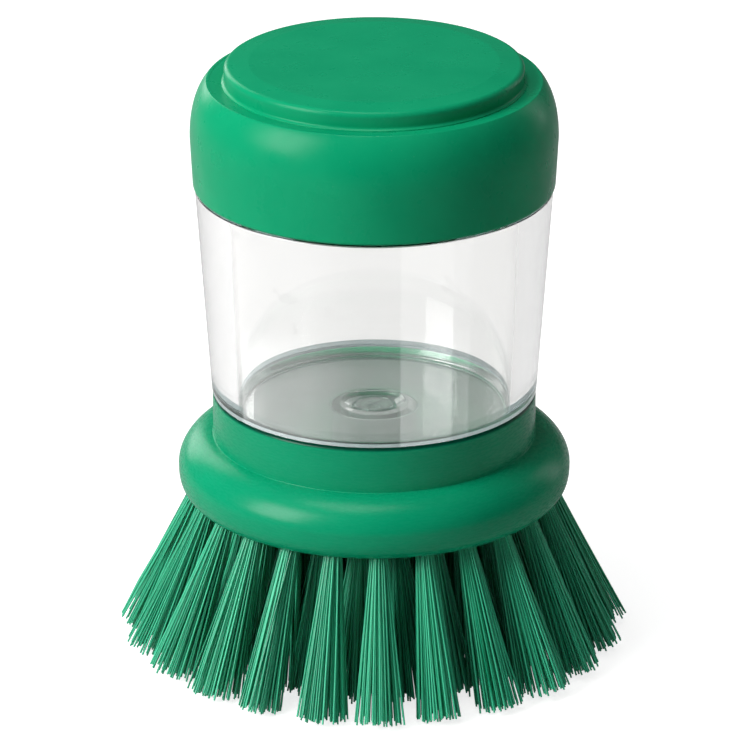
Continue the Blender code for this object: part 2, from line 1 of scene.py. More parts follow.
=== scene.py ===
"""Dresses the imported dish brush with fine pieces, finishes, soft studio light and a camera.

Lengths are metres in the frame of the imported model: +Z is up, -Y is the front, and the bristles stand on
z = 0. Angles are degrees until they reach Blender, except the golden turn from strand to strand, which is
in radians. A size whose name ends in edge is a rounding's radius.
"""

import logging
import math
import random
from dataclasses import dataclass, field
from enum import Enum

import bmesh
import bpy
from mathutils import Matrix, Vector

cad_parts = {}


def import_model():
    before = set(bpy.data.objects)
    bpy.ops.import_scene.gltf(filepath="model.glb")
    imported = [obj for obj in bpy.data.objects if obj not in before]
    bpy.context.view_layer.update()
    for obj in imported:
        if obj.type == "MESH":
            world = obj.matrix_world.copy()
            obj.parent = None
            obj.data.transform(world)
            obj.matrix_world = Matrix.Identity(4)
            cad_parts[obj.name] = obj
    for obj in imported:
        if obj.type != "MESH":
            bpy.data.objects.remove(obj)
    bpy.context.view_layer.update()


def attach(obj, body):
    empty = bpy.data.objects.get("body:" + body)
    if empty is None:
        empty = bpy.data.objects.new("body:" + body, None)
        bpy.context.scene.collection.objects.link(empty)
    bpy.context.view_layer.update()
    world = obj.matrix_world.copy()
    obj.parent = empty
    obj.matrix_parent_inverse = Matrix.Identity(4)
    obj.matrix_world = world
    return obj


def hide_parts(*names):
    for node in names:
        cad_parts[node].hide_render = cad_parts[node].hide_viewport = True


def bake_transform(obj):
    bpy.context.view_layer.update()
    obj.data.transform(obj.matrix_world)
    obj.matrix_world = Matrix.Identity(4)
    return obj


LOG = logging.getLogger("dish_brush")
SEED = 20

Point = tuple[float, float]
Colour = tuple[float, float, float]
Socket = bpy.types.NodeSocket


class Body(Enum):
    """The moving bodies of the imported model."""

    HEAD = "head"
    SEAL = "seal"
    TUMBLER = "tumbler"
    CAP = "cap"
    BUTTON = "button"


class Slot(Enum):
    """Names of material slots."""

    HEAD_PLASTIC = "green_plastic"
    RUBBER = "green_rubber"
    CLEAR = "clear_plastic"
    SILICONE = "clear_silicone"
    SEAL = "seal_rubber"
    BRISTLE = "green_bristle"


class Operation(Enum):
    """What a tool's shape does to a mesh."""

    JOIN = "UNION"
    CUT = "DIFFERENCE"


# Outlines

SUPPORT = 0.00012
LEAST_FLAT = 3 * SUPPORT
ROUND_STEPS = 5
LONGEST_ROUNDING_SHARE = 0.45


@dataclass(frozen=True)
class Corner:
    """A corner of an outline, at a radius and a height, with the radius of its rounding."""

    radius: float
    height: float
    rounding: float = 0.0


def superellipse(
    centre: Point, reach: float, rise: float, power: float, start: float, end: float, steps: int
) -> list[Corner]:
    """Corners on a rounded-square curve.

    Args:
        centre: radius and height of the curve's centre.
        reach: half its width.
        rise: half its height.
        power: 2 for an ellipse, more for a squarer curve.
        start: first angle, in degrees.
        end: last angle, in degrees.
        steps: number of steps between them.

    Returns:
        The corners, none of them rounded.
    """
    corners = []
    for step in range(steps + 1):
        angle = math.radians(start + (end - start) * step / steps)
        across = math.copysign(abs(math.cos(angle)) ** (2 / power), math.cos(angle))
        up = math.copysign(abs(math.sin(angle)) ** (2 / power), math.sin(angle))
        corners.append(Corner(centre[0] + reach * across, centre[1] + rise * up))
    return corners


def rounded(corners: list[Corner], closed: bool = True) -> list[Point]:
    """Rounds the corners of an outline, with a support point beside each rounding so that flats shade flat.

    Args:
        corners: the outline's corners in order.
        closed: whether the last corner joins the first.

    Returns:
        The outline's points as (radius, height).
    """
    points: list[Point] = []
    count = len(corners)
    for index, corner in enumerate(corners):
        here = Vector((corner.radius, corner.height))
        if not corner.rounding or (not closed and index in (0, count - 1)):
            points.append((here.x, here.y))
            continue
        before = corners[index - 1]
        after = corners[(index + 1) % count]
        back = Vector((before.radius, before.height)) - here
        ahead = Vector((after.radius, after.height)) - here
        half = back.angle(ahead) / 2
        longest = LONGEST_ROUNDING_SHARE * min(back.length, ahead.length)
        reach = min(corner.rounding / math.tan(half), longest)
        radius = reach * math.tan(half)
        bisector = (back.normalized() + ahead.normalized()).normalized()
        centre = here + bisector * (radius / math.sin(half))
        first = here + back.normalized() * reach
        last = here + ahead.normalized() * reach
        if back.length - reach > LEAST_FLAT:
            support = here + back.normalized() * (reach + SUPPORT)
            points.append((support.x, support.y))
        sweep = (first - centre).angle_signed(last - centre)
        for step in range(ROUND_STEPS + 1):
            turned = (first - centre).copy()
            turned.rotate(Matrix.Rotation(-sweep * step / ROUND_STEPS, 2))
            points.append((centre.x + turned.x, centre.y + turned.y))
        if ahead.length - reach > LEAST_FLAT:
            support = here + ahead.normalized() * (reach + SUPPORT)
            points.append((support.x, support.y))
    return points


# Meshes and objects

FULL_TURN = 2 * math.pi
ORIGIN = (0.0, 0.0, 0.0)
UPWARDS = (0.0, 0.0, 1.0)
JOIN_DISTANCE = 1e-7
SMOOTH_ANGLE = 35.0
TURN_STEPS = 192


def smooth(mesh: bpy.types.Mesh, sharp: float = SMOOTH_ANGLE) -> bpy.types.Mesh:
    """Shades a mesh smooth, with an edge left sharp where its two faces turn more.

    Args:
        mesh: the mesh to shade.
        sharp: the turn from which an edge is sharp, in degrees.

    Returns:
        The same mesh.
    """
    mesh.shade_smooth()
    mesh.set_sharp_from_angle(angle=math.radians(sharp))
    return mesh


def finish_mesh(name: str, shape: bmesh.types.BMesh, sharp: float = SMOOTH_ANGLE) -> bpy.types.Mesh:
    """Turns a bmesh into a shaded mesh and frees it.

    Args:
        name: the mesh's name.
        shape: the bmesh.
        sharp: the turn from which an edge is sharp, in degrees.

    Returns:
        The mesh.
    """
    mesh = bpy.data.meshes.new(name)
    shape.to_mesh(mesh)
    shape.free()
    return smooth(mesh, sharp)


def turned_mesh(
    name: str, points: list[Point], closed: bool = True, steps: int = TURN_STEPS
) -> bpy.types.Mesh:
    """Spins an outline round the Z axis.

    Args:
        name: the mesh's name.
        points: the outline as (radius, height).
        closed: whether the outline is a ring that closes on itself.
        steps: number of steps in the full turn.

    Returns:
        The closed mesh, with its faces outwards.
    """
    shape = bmesh.new()
    verts = [shape.verts.new((radius, 0, height)) for radius, height in points]
    edges = [shape.edges.new(pair) for pair in zip(verts, verts[1:])]
    if closed:
        edges.append(shape.edges.new((verts[-1], verts[0])))
    bmesh.ops.spin(
        shape,
        geom=verts + edges,
        cent=ORIGIN,
        axis=UPWARDS,
        dvec=ORIGIN,
        angle=FULL_TURN,
        steps=steps,
        use_merge=True,
    )
    bmesh.ops.remove_doubles(shape, verts=shape.verts, dist=JOIN_DISTANCE)
    bmesh.ops.recalc_face_normals(shape, faces=shape.faces)
    return finish_mesh(name, shape)


def new_object(name: str, data: bpy.types.ID) -> bpy.types.Object:
    """Makes an object and puts it in the scene.

    Args:
        name: the object's name.
        data: its mesh, lamp or camera.

    Returns:
        The new object.
    """
    made = bpy.data.objects.new(name, data)
    bpy.context.scene.collection.objects.link(made)
    return made


def combined(target: bpy.types.Mesh, tool: bpy.types.Mesh, operation: Operation) -> bpy.types.Mesh:
    """Joins a tool's shape to a mesh, or cuts it out.

    Args:
        target: the mesh to change.
        tool: the mesh that is joined or cut out.
        operation: which of the two is done.

    Returns:
        The new mesh.
    """
    holder = new_object("holder", target)
    helper = new_object("helper", tool)
    boolean = holder.modifiers.new("combine", "BOOLEAN")
    boolean.operation = operation.value
    boolean.object = helper
    bpy.context.view_layer.update()
    evaluated = holder.evaluated_get(bpy.context.evaluated_depsgraph_get())
    mesh = bpy.data.meshes.new_from_object(evaluated)
    for obj in (holder, helper):
        bpy.data.objects.remove(obj, do_unlink=True)
    mesh.name = target.name
    return smooth(mesh)


def add_piece(
    name: str, mesh: bpy.types.Mesh, material: bpy.types.Material, nodes: list[str]
) -> bpy.types.Object:
    """Puts a finished mesh in the scene in place of CAD nodes.

    Args:
        name: the piece's name.
        mesh: its mesh, already in place.
        material: its finish.
        nodes: the CAD nodes that it stands for.

    Returns:
        The new object.
    """
    mesh.name = name
    mesh.materials.clear()
    mesh.materials.append(material)
    piece = new_object(name, mesh)
    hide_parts(*nodes)
    LOG.info("%s: %d faces", name, len(mesh.polygons))
    return piece


# Node trees

PATCH_FROM = 0.3
PATCH_TO = 0.7


@dataclass(frozen=True)
class Pattern:
    """A noise pattern: its cells per metre, its layers of detail and its scale along the Z axis."""

    cells: float
    detail: float
    upright_scale: float = 1.0


@dataclass(frozen=True)
class Relief:
    """Fine bumps: their pattern, their depth and the share of it that shows."""

    pattern: Pattern
    depth: float
    strength: float


class Graph:
    """A node tree, with short calls that add and join nodes."""

    def __init__(self, tree: bpy.types.NodeTree, coordinates: str = "Object") -> None:
        """Takes a tree.

        Args:
            tree: the material's or the world's node tree.
            coordinates: the Texture Coordinate output that patterns read.
        """
        self.tree = tree
        self.place = self.node("TexCoord").outputs[coordinates]

    def node(self, kind: str, inputs: dict | None = None, **settings: object) -> bpy.types.Node:
        """Adds a node.

        Args:
            kind: the node's type name after ShaderNode.
            inputs: socket name or index to a value, or to the socket that feeds it.
            settings: attributes of the node itself.

        Returns:
            The new node.
        """
        made = self.tree.nodes.new("ShaderNode" + kind)
        for key, value in settings.items():
            setattr(made, key, value)
        for key, value in (inputs or {}).items():
            self.feed(made.inputs[key], value)
        return made

    def feed(self, target: Socket, value: object) -> None:
        """Joins a socket to the one that feeds it, or sets its value.

        Args:
            target: the input socket.
            value: the output socket that feeds it, or its value.
        """
        if isinstance(value, bpy.types.NodeSocket):
            self.tree.links.new(value, target)
        else:
            target.default_value = value

    def spread(
        self, value: Socket, low: float, high: float, out_low: float, out_high: float, **settings: object
    ) -> Socket:
        """Maps a range of a value onto another range.

        Args:
            value: the value.
            low: where its range starts.
            high: where its range ends.
            out_low: the result at the start.
            out_high: the result at the end.
            settings: attributes of the Map Range node.

        Returns:
            The result, held between the two.
        """
        limits = {"From Min": low, "From Max": high, "To Min": out_low, "To Max": out_high}
        return self.node("MapRange", {"Value": value, **limits}, **settings).outputs["Result"]

    def maths(self, operation: str, first: object, second: object) -> Socket:
        """The result of a Math node."""
        return self.node("Math", {0: first, 1: second}, operation=operation).outputs["Value"]

    def length(self, vector: Socket) -> Socket:
        """The length of a vector."""
        return self.node("VectorMath", {0: vector}, operation="LENGTH").outputs["Value"]

    def axes(self) -> bpy.types.NodeOutputs:
        """The place as its X, Y and Z."""
        return self.node("SeparateXYZ", {0: self.place}).outputs

    def scaled(self, across: float, upright: float) -> Socket:
        """The place, scaled across and along the Z axis."""
        scale = (across, across, upright)
        return self.node("Mapping", {"Vector": self.place, "Scale": scale}).outputs["Vector"]

    def scalar_mix(self, share: object, first: object, second: object) -> Socket:
        """A mix of two numbers."""
        return self.node("Mix", {0: share, 2: first, 3: second}, data_type="FLOAT").outputs[0]

    def mix(self, share: Socket, first: object, second: object) -> Socket:
        """A mix of two colours.

        Args:
            share: the second colour's share.
            first: the first colour, or the socket that gives it.
            second: the second colour, or the socket that gives it.

        Returns:
            The mixed colour.
        """
        made = self.node("Mix", {0: share}, data_type="RGBA")
        for socket, value in ((made.inputs[6], first), (made.inputs[7], second)):
            self.feed(socket, (*value, 1.0) if isinstance(value, tuple) else value)
        return made.outputs[2]

    def noise(self, pattern: Pattern) -> Socket:
        """The value of a noise pattern.

        Args:
            pattern: the pattern.

        Returns:
            The value, near 0.5 on average.
        """
        place = self.place
        if pattern.upright_scale != 1.0:
            place = self.scaled(1.0, pattern.upright_scale)
        made = self.node("TexNoise", {"Vector": place, "Scale": pattern.cells, "Detail": pattern.detail})
        return made.outputs["Fac"]

    def patches(self, pattern: Pattern, low: float = 0.0, high: float = 1.0) -> Socket:
        """A noise pattern's middle values, spread from low to high."""
        return self.spread(self.noise(pattern), PATCH_FROM, PATCH_TO, low, high)

    def greatest(self, zones: list[tuple[Socket, float]]) -> Socket:
        """The greatest of the levels that zones have at a place.

        Args:
            zones: each zone's mask with its level.

        Returns:
            The level, or 0 outside all zones.
        """
        levels = [self.spread(mask, 0.0, 1.0, 0.0, level) for mask, level in zones]
        greatest = levels[0]
        for level in levels[1:]:
            greatest = self.maths("MAXIMUM", greatest, level)
        return greatest

    def relief(self, relief: Relief, under: Socket | None = None) -> Socket:
        """A bumped normal.

        Args:
            relief: the bumps.
            under: the normal that they lie on, where it is bumped too.

        Returns:
            The normal.
        """
        made = self.node(
            "Bump",
            {"Height": self.noise(relief.pattern), "Distance": relief.depth, "Strength": relief.strength},
        )
        if under is not None:
            self.feed(made.inputs["Normal"], under)
        return made.outputs["Normal"]


class MaterialGraph(Graph):
    """The node tree of a new material with a Principled shader."""

    def __init__(self, name: str) -> None:
        """Starts the material.

        Args:
            name: its name.
        """
        self.material = bpy.data.materials.new(name)
        self.material.use_nodes = True
        super().__init__(self.material.node_tree)
        self.shader = self.tree.nodes["Principled BSDF"]

    def shade(self, **values: object) -> None:
        """Sets or feeds the shader's sockets, with underscores for spaces."""
        for key, value in values.items():
            self.feed(self.shader.inputs[key.replace("_", " ")], value)

    def let_lamps_through(self, tint: Colour) -> None:
        """Lets lamp light pass through a clear material.

        Args:
            tint: the colour that the light takes on.
        """
        shadow = self.node("LightPath").outputs["Is Shadow Ray"]
        open_way = self.node("BsdfTransparent", {"Color": (*tint, 1.0)}).outputs[0]
        mix = self.node("MixShader", {0: shadow, 1: self.shader.outputs[0], 2: open_way})
        output = next(node for node in self.tree.nodes if node.type == "OUTPUT_MATERIAL")
        self.feed(output.inputs["Surface"], mix.outputs[0])


# Finishes


@dataclass(frozen=True)
class Tones:
    """How far a green wanders.

    The deep tone is a share of it. The pale tone has some red added, and shares of its green and blue.
    """

    deep_share: float
    pale_red: float
    pale_green_share: float
    pale_blue_share: float

    def mixed(self, graph: Graph, pattern: Pattern, colour: Colour) -> Socket:
        """A green that wanders between its deep and its pale tone.

        Args:
            graph: the material's graph.
            pattern: where the tones lie.
            colour: the green.

        Returns:
            The wandering colour.
        """
        red, green, blue = colour
        deep = tuple(self.deep_share * channel for channel in colour)
        pale = (red + self.pale_red, self.pale_green_share * green, self.pale_blue_share * blue)
        return graph.mix(graph.patches(pattern), deep, pale)


@dataclass(frozen=True)
class SoftRubber:
    """Matte green rubber with a fine grain, slow mottling and specks of dust."""

    name: str = "soft_rubber"
    colour: Colour = (0.0, 0.300, 0.132)
    roughness: float = 0.30
    shine: float = 0.11
    tones: Tones = Tones(0.93, 0.004, 1.05, 1.06)
    mottle: Pattern = Pattern(70.0, 4.0)
    dust: float = 0.12
    dust_colour: Colour = (0.42, 0.60, 0.50)
    dust_cells: float = 1100.0
    speck_core: float = 0.04
    speck_reach: float = 0.12
    dust_choice: Pattern = Pattern(1400.0, 0.0)
    dust_threshold: float = 0.66
    wear: Pattern = Pattern(260.0, 5.0)
    wear_from: float = 0.25
    wear_to: float = 0.75
    wear_spread: float = 0.06
    grain: Relief = Relief(Pattern(2600.0, 4.0), 0.000012, 0.5)
    dents: Relief = Relief(Pattern(150.0, 2.0), 0.00005, 0.35)

    def material(self) -> bpy.types.Material:
        """Builds the material.

        Returns:
            The new material.
        """
        graph = MaterialGraph(self.name)
        body = self.tones.mixed(graph, self.mottle, self.colour)
        cells = graph.node("TexVoronoi", {"Vector": graph.place, "Scale": self.dust_cells, "Randomness": 1.0})
        near = graph.spread(cells.outputs["Distance"], self.speck_core, self.speck_reach, 1.0, 0.0)
        chosen = graph.maths("GREATER_THAN", graph.noise(self.dust_choice), self.dust_threshold)
        speck = graph.maths("MULTIPLY", graph.maths("MULTIPLY", near, chosen), self.dust)
        smoothest = self.roughness - self.wear_spread
        roughest = self.roughness + self.wear_spread
        worn = graph.spread(graph.noise(self.wear), self.wear_from, self.wear_to, smoothest, roughest)
        graph.shade(Base_Color=graph.mix(speck, body, self.dust_colour), Roughness=worn)
        graph.shade(Normal=graph.relief(self.dents, graph.relief(self.grain)))
        graph.shader.inputs["Specular IOR Level"].default_value = self.shine
        return graph.material


@dataclass(frozen=True)
class SatinPlastic:
    """Moulded green plastic with faint flow lines, rubbed marks and painted shade darkening the collar's top
    under the container.
    """

    name: str = "satin_plastic"
    colour: Colour = (0.0, 0.288, 0.134)
    roughness: float = 0.27
    shine: float = 0.15
    tones: Tones = Tones(0.95, 0.003, 1.04, 1.05)
    flow: Pattern = Pattern(60.0, 3.0, 3.0)
    gap_shade_colour: Colour = (0.0, 0.045, 0.025)
    gap_shade_low: float = 0.0431
    gap_shade_high: float = 0.0435
    rubbed: Pattern = Pattern(700.0, 3.0, 6.0)
    smoother: float = 0.03
    rougher: float = 0.04
    grain: Relief = Relief(Pattern(3200.0, 3.0), 0.000006, 0.4)
    dents: Relief = Relief(Pattern(90.0, 2.0), 0.00006, 0.35)

    def material(self) -> bpy.types.Material:
        """Builds the material.

        Returns:
            The new material.
        """
        graph = MaterialGraph(self.name)
        body = self.tones.mixed(graph, self.flow, self.colour)
        # Painted shade: the collar's top darkens in the gap under the container, standing in for the shadow
        # there.
        gap_shade = graph.spread(graph.axes()["Z"], self.gap_shade_low, self.gap_shade_high, 0.0, 1.0)
        graph.shade(Base_Color=graph.mix(gap_shade, body, self.gap_shade_colour))
        smoothest = self.roughness - self.smoother
        roughest = self.roughness + self.rougher
        graph.shade(Roughness=graph.patches(self.rubbed, smoothest, roughest))
        graph.shade(Normal=graph.relief(self.dents, graph.relief(self.grain)))
        graph.shader.inputs["Specular IOR Level"].default_value = self.shine
        return graph.material


@dataclass(frozen=True)
class ClearZone:
    """How a zone of the clear plastic departs from the rest: its roughness and its share of milkiness."""

    frost: float
    milk: float


@dataclass(frozen=True)
class ClearPlastic:
    """Crystal clear moulded plastic that lets lamps through, faintly wavy, and rough and milky below the
    floor.

    The base is all that lies lower than the floor, the shelf is the foot's underside round the spigot, and
    the corner is the slope between the floor and the inner wall. The base's dim green and the shelf's dark
    grey are painted shade, darker than the clear plastic itself; their roughness and milkiness are real.
    """

    name: str = "crystal_plastic"
    colour: Colour = (0.951, 0.949, 0.942)
    second_colour: Colour = (0.943, 0.943, 0.936)
    clouds: Pattern = Pattern(55.0, 2.0)
    painted_base_shade: Colour = (0.12, 0.26, 0.20)
    painted_shelf_shade: Colour = (0.180, 0.243, 0.246)
    refraction: float = 1.57
    lamp_tint: Colour = (0.96, 0.975, 0.97)
    wave: Relief = Relief(Pattern(45.0, 1.0, 0.35), 0.00005, 0.5)
    smudges: Pattern = Pattern(220.0, 4.0)
    smudge_from: float = 0.60
    smudge_to: float = 0.80
    smudge_roughness: float = 0.03
    smudge_low: float = 0.060
    smudge_high: float = 0.068
    base: ClearZone = ClearZone(0.15, 0.25)
    base_top: float = 0.0410
    base_fade: float = 0.0003
    shelf: ClearZone = ClearZone(0.45, 0.92)
    shelf_top: float = 0.04404
    shelf_radius: float = 0.0239
    corner: ClearZone = ClearZone(0.14, 0.04)
    corner_radius: float = 0.0226
    corner_low: float = 0.0428
    corner_top: float = 0.0443

    def material(self) -> bpy.types.Material:
        """Builds the material.

        Returns:
            The new material.
        """
        graph = MaterialGraph(self.name)
        height = graph.axes()["Z"]
        away = graph.length(graph.scaled(1.0, 0.0))
        base = graph.spread(height, self.base_top - self.base_fade, self.base_top, 1.0, 0.0)
        below = graph.maths("LESS_THAN", height, self.shelf_top)
        shelf = graph.maths("MULTIPLY", graph.maths("GREATER_THAN", away, self.shelf_radius), below)
        above = graph.maths("GREATER_THAN", height, self.corner_low)
        band = graph.maths("MULTIPLY", above, graph.maths("LESS_THAN", height, self.corner_top))
        corner = graph.maths("MULTIPLY", band, graph.maths("LESS_THAN", away, self.corner_radius))
        tint = graph.mix(graph.patches(self.clouds), self.colour, self.second_colour)
        # Painted shade: the base below the floor is tinted dim green and the shelf under the foot dark grey.
        graph.shade(Base_Color=graph.mix(base, graph.mix(shelf, tint, self.painted_shelf_shade), self.painted_base_shade))
        zones = ((base, self.base), (shelf, self.shelf), (corner, self.corner))
        smudge = graph.spread(
            graph.noise(self.smudges), self.smudge_from, self.smudge_to, 0.0, self.smudge_roughness
        )
        upper = graph.spread(height, self.smudge_low, self.smudge_high, 0.0, 1.0)
        matt = graph.greatest([(mask, zone.frost) for mask, zone in zones])
        graph.shade(Roughness=graph.maths("ADD", graph.maths("MULTIPLY", smudge, upper), matt))
        cloudy = graph.greatest([(mask, zone.milk) for mask, zone in zones])
        graph.shade(Transmission_Weight=graph.maths("SUBTRACT", 1.0, cloudy))
        graph.shade(Normal=graph.relief(self.wave))
        graph.shader.inputs["IOR"].default_value = self.refraction
        graph.let_lamps_through(self.lamp_tint)
        return graph.material


@dataclass(frozen=True)
class Silicone:
    """See-through soft silicone with a slight milkiness."""

    name: str = "clear_silicone"
    colour: Colour = (0.55, 0.69, 0.63)
    second_colour: Colour = (0.47, 0.62, 0.56)
    clouds: Pattern = Pattern(400.0, 3.0)
    sheen: Pattern = Pattern(900.0, 3.0)
    smoothest: float = 0.08
    roughest: float = 0.16
    grain: Relief = Relief(Pattern(1500.0, 2.0), 0.00001, 0.4)
    refraction: float = 1.41
    clearness: float = 0.95
    lamp_tint: Colour = (0.75, 0.8, 0.78)

    def material(self) -> bpy.types.Material:
        """Builds the material.

        Returns:
            The new material.
        """
        graph = MaterialGraph(self.name)
        graph.shade(Base_Color=graph.mix(graph.patches(self.clouds), self.colour, self.second_colour))
        graph.shade(Roughness=graph.patches(self.sheen, self.smoothest, self.roughest))
        graph.shade(Normal=graph.relief(self.grain))
        graph.shader.inputs["IOR"].default_value = self.refraction
        graph.shader.inputs["Transmission Weight"].default_value = self.clearness
        graph.let_lamps_through(self.lamp_tint)
        return graph.material


@dataclass(frozen=True)
class Filament:
    """Glossy drawn bristle, each strand a little different, paler at its cut tip."""

    name: str = "green_filament"
    deep: Colour = (0.0, 0.270, 0.130)
    pale: Colour = (0.050, 0.620, 0.345)
    tint_attribute: str = "strand_tint"
    tip_colour: Colour = (0.05, 0.52, 0.30)
    tip_share: float = 0.35
    tip_length: float = 0.0022
    smoothest: float = 0.30
    roughest: float = 0.44
    drawn_lines: Relief = Relief(Pattern(1800.0, 2.0, 0.08), 0.000008, 0.4)
    shine: float = 0.85

    def material(self) -> bpy.types.Material:
        """Builds the material.

        Returns:
            The new material.
        """
        graph = MaterialGraph(self.name)
        tint = graph.node("Attribute", attribute_name=self.tint_attribute).outputs["Fac"]
        body = graph.mix(tint, self.deep, self.pale)
        tip = graph.spread(graph.axes()["Z"], 0.0, self.tip_length, self.tip_share, 0.0)
        graph.shade(Base_Color=graph.mix(tip, body, self.tip_colour))
        graph.shade(Roughness=graph.spread(tint, 0.0, 1.0, self.smoothest, self.roughest))
        graph.shade(Normal=graph.relief(self.drawn_lines))
        graph.shader.inputs["Specular IOR Level"].default_value = self.shine
        return graph.material


# Bristles

UNDERSIDE = 0.02565
FRONT = -90.0
FIRST_TUFT = 1.5
GOLDEN_TURN = 2.399963


@dataclass(frozen=True)
class TuftRow:
    """One ring of tufts.

    Fan angles are the lean of the outermost strands to the tuft's own axis, outwards and sideways. Unruly
    and stray leans, and the twists of a tuft, are the usual size of a random angle. Curls are random
    shares of the curl, and lengths and tips vary by random shares of their spreads.
    """

    name: str
    nodes: list[str]
    tufts: int
    phase: float
    root_radius: float
    tilt: float
    fan_out: float
    fan_side: float
    strands: int = 84
    hole_radius: float = 0.0018
    hole_depth: float = 0.0057
    packed_radius: float = 0.00140
    widest: float = 0.0425
    strand_radius: float = 0.00016
    strand_sides: int = 5
    strand_steps: int = 4
    strand_sharp: float = 80.0
    hidden_length: float = 0.0022
    tip_height: float = 0.0003
    lowest_tip: float = 0.00009
    tip_spread: float = 0.0005
    length_spread: float = 0.0006
    shortest_share: float = -1.0
    longest_share: float = 0.6
    curl: float = 0.0003
    side_curl_share: float = 0.6
    out_curl_share: float = 0.25
    out_curl_spread_share: float = 0.5
    unruly: float = 0.3
    stray_share: float = 0.04
    stray_lean: float = 3.2
    out_twist: float = 0.52
    side_twist: float = 1.3
    fan_spread_share: float = 0.15
    tuft_tint: float = 0.12
    middle_tint: float = 0.5
    strand_tint: float = 0.22

    def frame(self, index: int) -> Matrix:
        """The frame of a tuft: +Z runs down along it from the underside, +X points inwards.

        Args:
            index: the tuft's number in its row, from 0.

        Returns:
            The frame.
        """
        angle = FRONT + FIRST_TUFT + 360.0 * (index + self.phase) / self.tufts
        root = Matrix.Translation((self.root_radius, 0, UNDERSIDE))
        lean = Matrix.Rotation(math.radians(180.0 - self.tilt), 4, "Y")
        return Matrix.Rotation(math.radians(angle), 4, "Z") @ (root @ lean)

    def strand_path(self, frame: Matrix, place: Vector, lean: Vector, chance: random.Random) -> list[Vector]:
        """The points that one strand follows.

        Args:
            frame: the tuft's frame.
            place: the strand's place across the tuft, each way from -1 to 1.
            lean: its lean inwards and sideways, in degrees.
            chance: the source of random numbers.

        Returns:
            Points from inside the hole to the tip.
        """
        root = Vector((place.x * self.packed_radius, place.y * self.packed_radius, 0))
        aim = Vector((math.tan(math.radians(lean.x)), math.tan(math.radians(lean.y)), 1)).normalized()
        along = frame.to_3x3() @ aim
        start = frame @ root
        length = (UNDERSIDE - self.tip_height) / math.cos(math.radians(self.tilt))
        length += self.length_spread * chance.uniform(self.shortest_share, self.longest_share)
        tip_limit = self.lowest_tip + self.tip_spread * chance.random()
        length = min(length, (start.z - tip_limit) / -along.z)
        sideways = along.cross(Vector(UPWARDS)).normalized()
        outwards = sideways.cross(along)
        side_share = chance.gauss(0, self.side_curl_share)
        out_share = chance.gauss(self.out_curl_share, self.out_curl_spread_share)
        bend = self.curl * (sideways * side_share + outwards * out_share)
        points = [start - along * self.hidden_length]
        for step in range(self.strand_steps):
            share = (step + 1) / self.strand_steps
            point = start + along * (length * share) + bend * share * share
            point.z = max(point.z, self.lowest_tip)
            away = Vector((point.x, point.y)).length
            if away > self.widest:
                point.x, point.y = point.x * self.widest / away, point.y * self.widest / away
            points.append(point)
        return points

    def grow(self, shape: bmesh.types.BMesh, paths: list[list[Vector]]) -> None:
        """Extrudes the strands' first discs along their paths, all strands a step at a time.

        Args:
            shape: the bmesh with the discs, each vertex marked with its strand's number.
            paths: each strand's points.
        """
        number = shape.verts.layers.int["strand_number"]
        for step in range(self.strand_steps):
            ends = [face for face in shape.faces if face.tag] if step else list(shape.faces)
            for face in shape.faces:
                face.tag = False
            grown = bmesh.ops.extrude_face_region(shape, geom=ends)["geom"]
            for item in grown:
                if isinstance(item, bmesh.types.BMVert):
                    path = paths[item[number]]
                    item.co += path[step + 1] - path[step]
                elif isinstance(item, bmesh.types.BMFace):
                    item.tag = True

    def mesh(self, tint_attribute: str) -> bpy.types.Mesh:
        """All the row's strands as closed tubes, with a tint for each strand.

        Args:
            tint_attribute: the name of the attribute that holds the tints.

        Returns:
            The row's mesh.
        """
        chance = random.Random(SEED + len(self.name) + self.tufts)
        shape = bmesh.new()
        number = shape.verts.layers.int.new("strand_number")
        tint = shape.verts.layers.float.new(tint_attribute)
        paths: list[list[Vector]] = []
        for index in range(self.tufts):
            frame = self.frame(index)
            twist = Vector((chance.gauss(0, self.out_twist), chance.gauss(0, self.side_twist)))
            spread = chance.uniform(1 - self.fan_spread_share, 1 + self.fan_spread_share)
            shade = chance.uniform(-self.tuft_tint, self.tuft_tint)
            for strand in range(self.strands):
                reach = math.sqrt((strand + 0.5) / self.strands)
                turn = strand * GOLDEN_TURN + index
                place = Vector((reach * math.cos(turn), reach * math.sin(turn)))
                lean = Vector((self.fan_out * place.x, self.fan_side * place.y)) * spread + twist
                loose = self.stray_lean if chance.random() < self.stray_share else self.unruly
                lean += Vector((chance.gauss(0, loose), chance.gauss(0, loose)))
                path = self.strand_path(frame, place, lean, chance)
                facing = (path[1] - path[0]).to_track_quat("Z", "X").to_matrix().to_4x4()
                made = bmesh.ops.create_circle(
                    shape,
                    cap_ends=True,
                    radius=self.strand_radius,
                    segments=self.strand_sides,
                    matrix=Matrix.Translation(path[0]) @ facing,
                )
                value = min(1.0, max(0.0, chance.gauss(self.middle_tint, self.strand_tint) + shade))
                for vert in made["verts"]:
                    vert[number] = len(paths)
                    vert[tint] = value
                paths.append(path)
        self.grow(shape, paths)
        shape.verts.layers.int.remove(shape.verts.layers.int["strand_number"])
        bmesh.ops.recalc_face_normals(shape, faces=shape.faces)
        return finish_mesh(self.name, shape, self.strand_sharp)


def numbered(name: str, count: int, digits: int) -> list[str]:
    """The names of a row's CAD nodes."""
    return [f"{name}_{index:0{digits}d}" for index in range(1, count + 1)]


OUTER_ROW = TuftRow("outer_bristles", numbered("outer_tuft", 24, 2), 24, 0.0, 0.02860, 20.5, 6.6, 5.4)
MIDDLE_ROW = TuftRow("middle_bristles", numbered("middle_tuft", 24, 2), 24, 0.5, 0.02260, 14.0, 5.5, 7.5)
INNER_ROW = TuftRow("inner_bristles", numbered("inner_tufts", 4, 1), 12, 0.0, 0.01550, 5.0, 8.0, 11.0)
ROWS = (OUTER_ROW, MIDDLE_ROW, INNER_ROW)


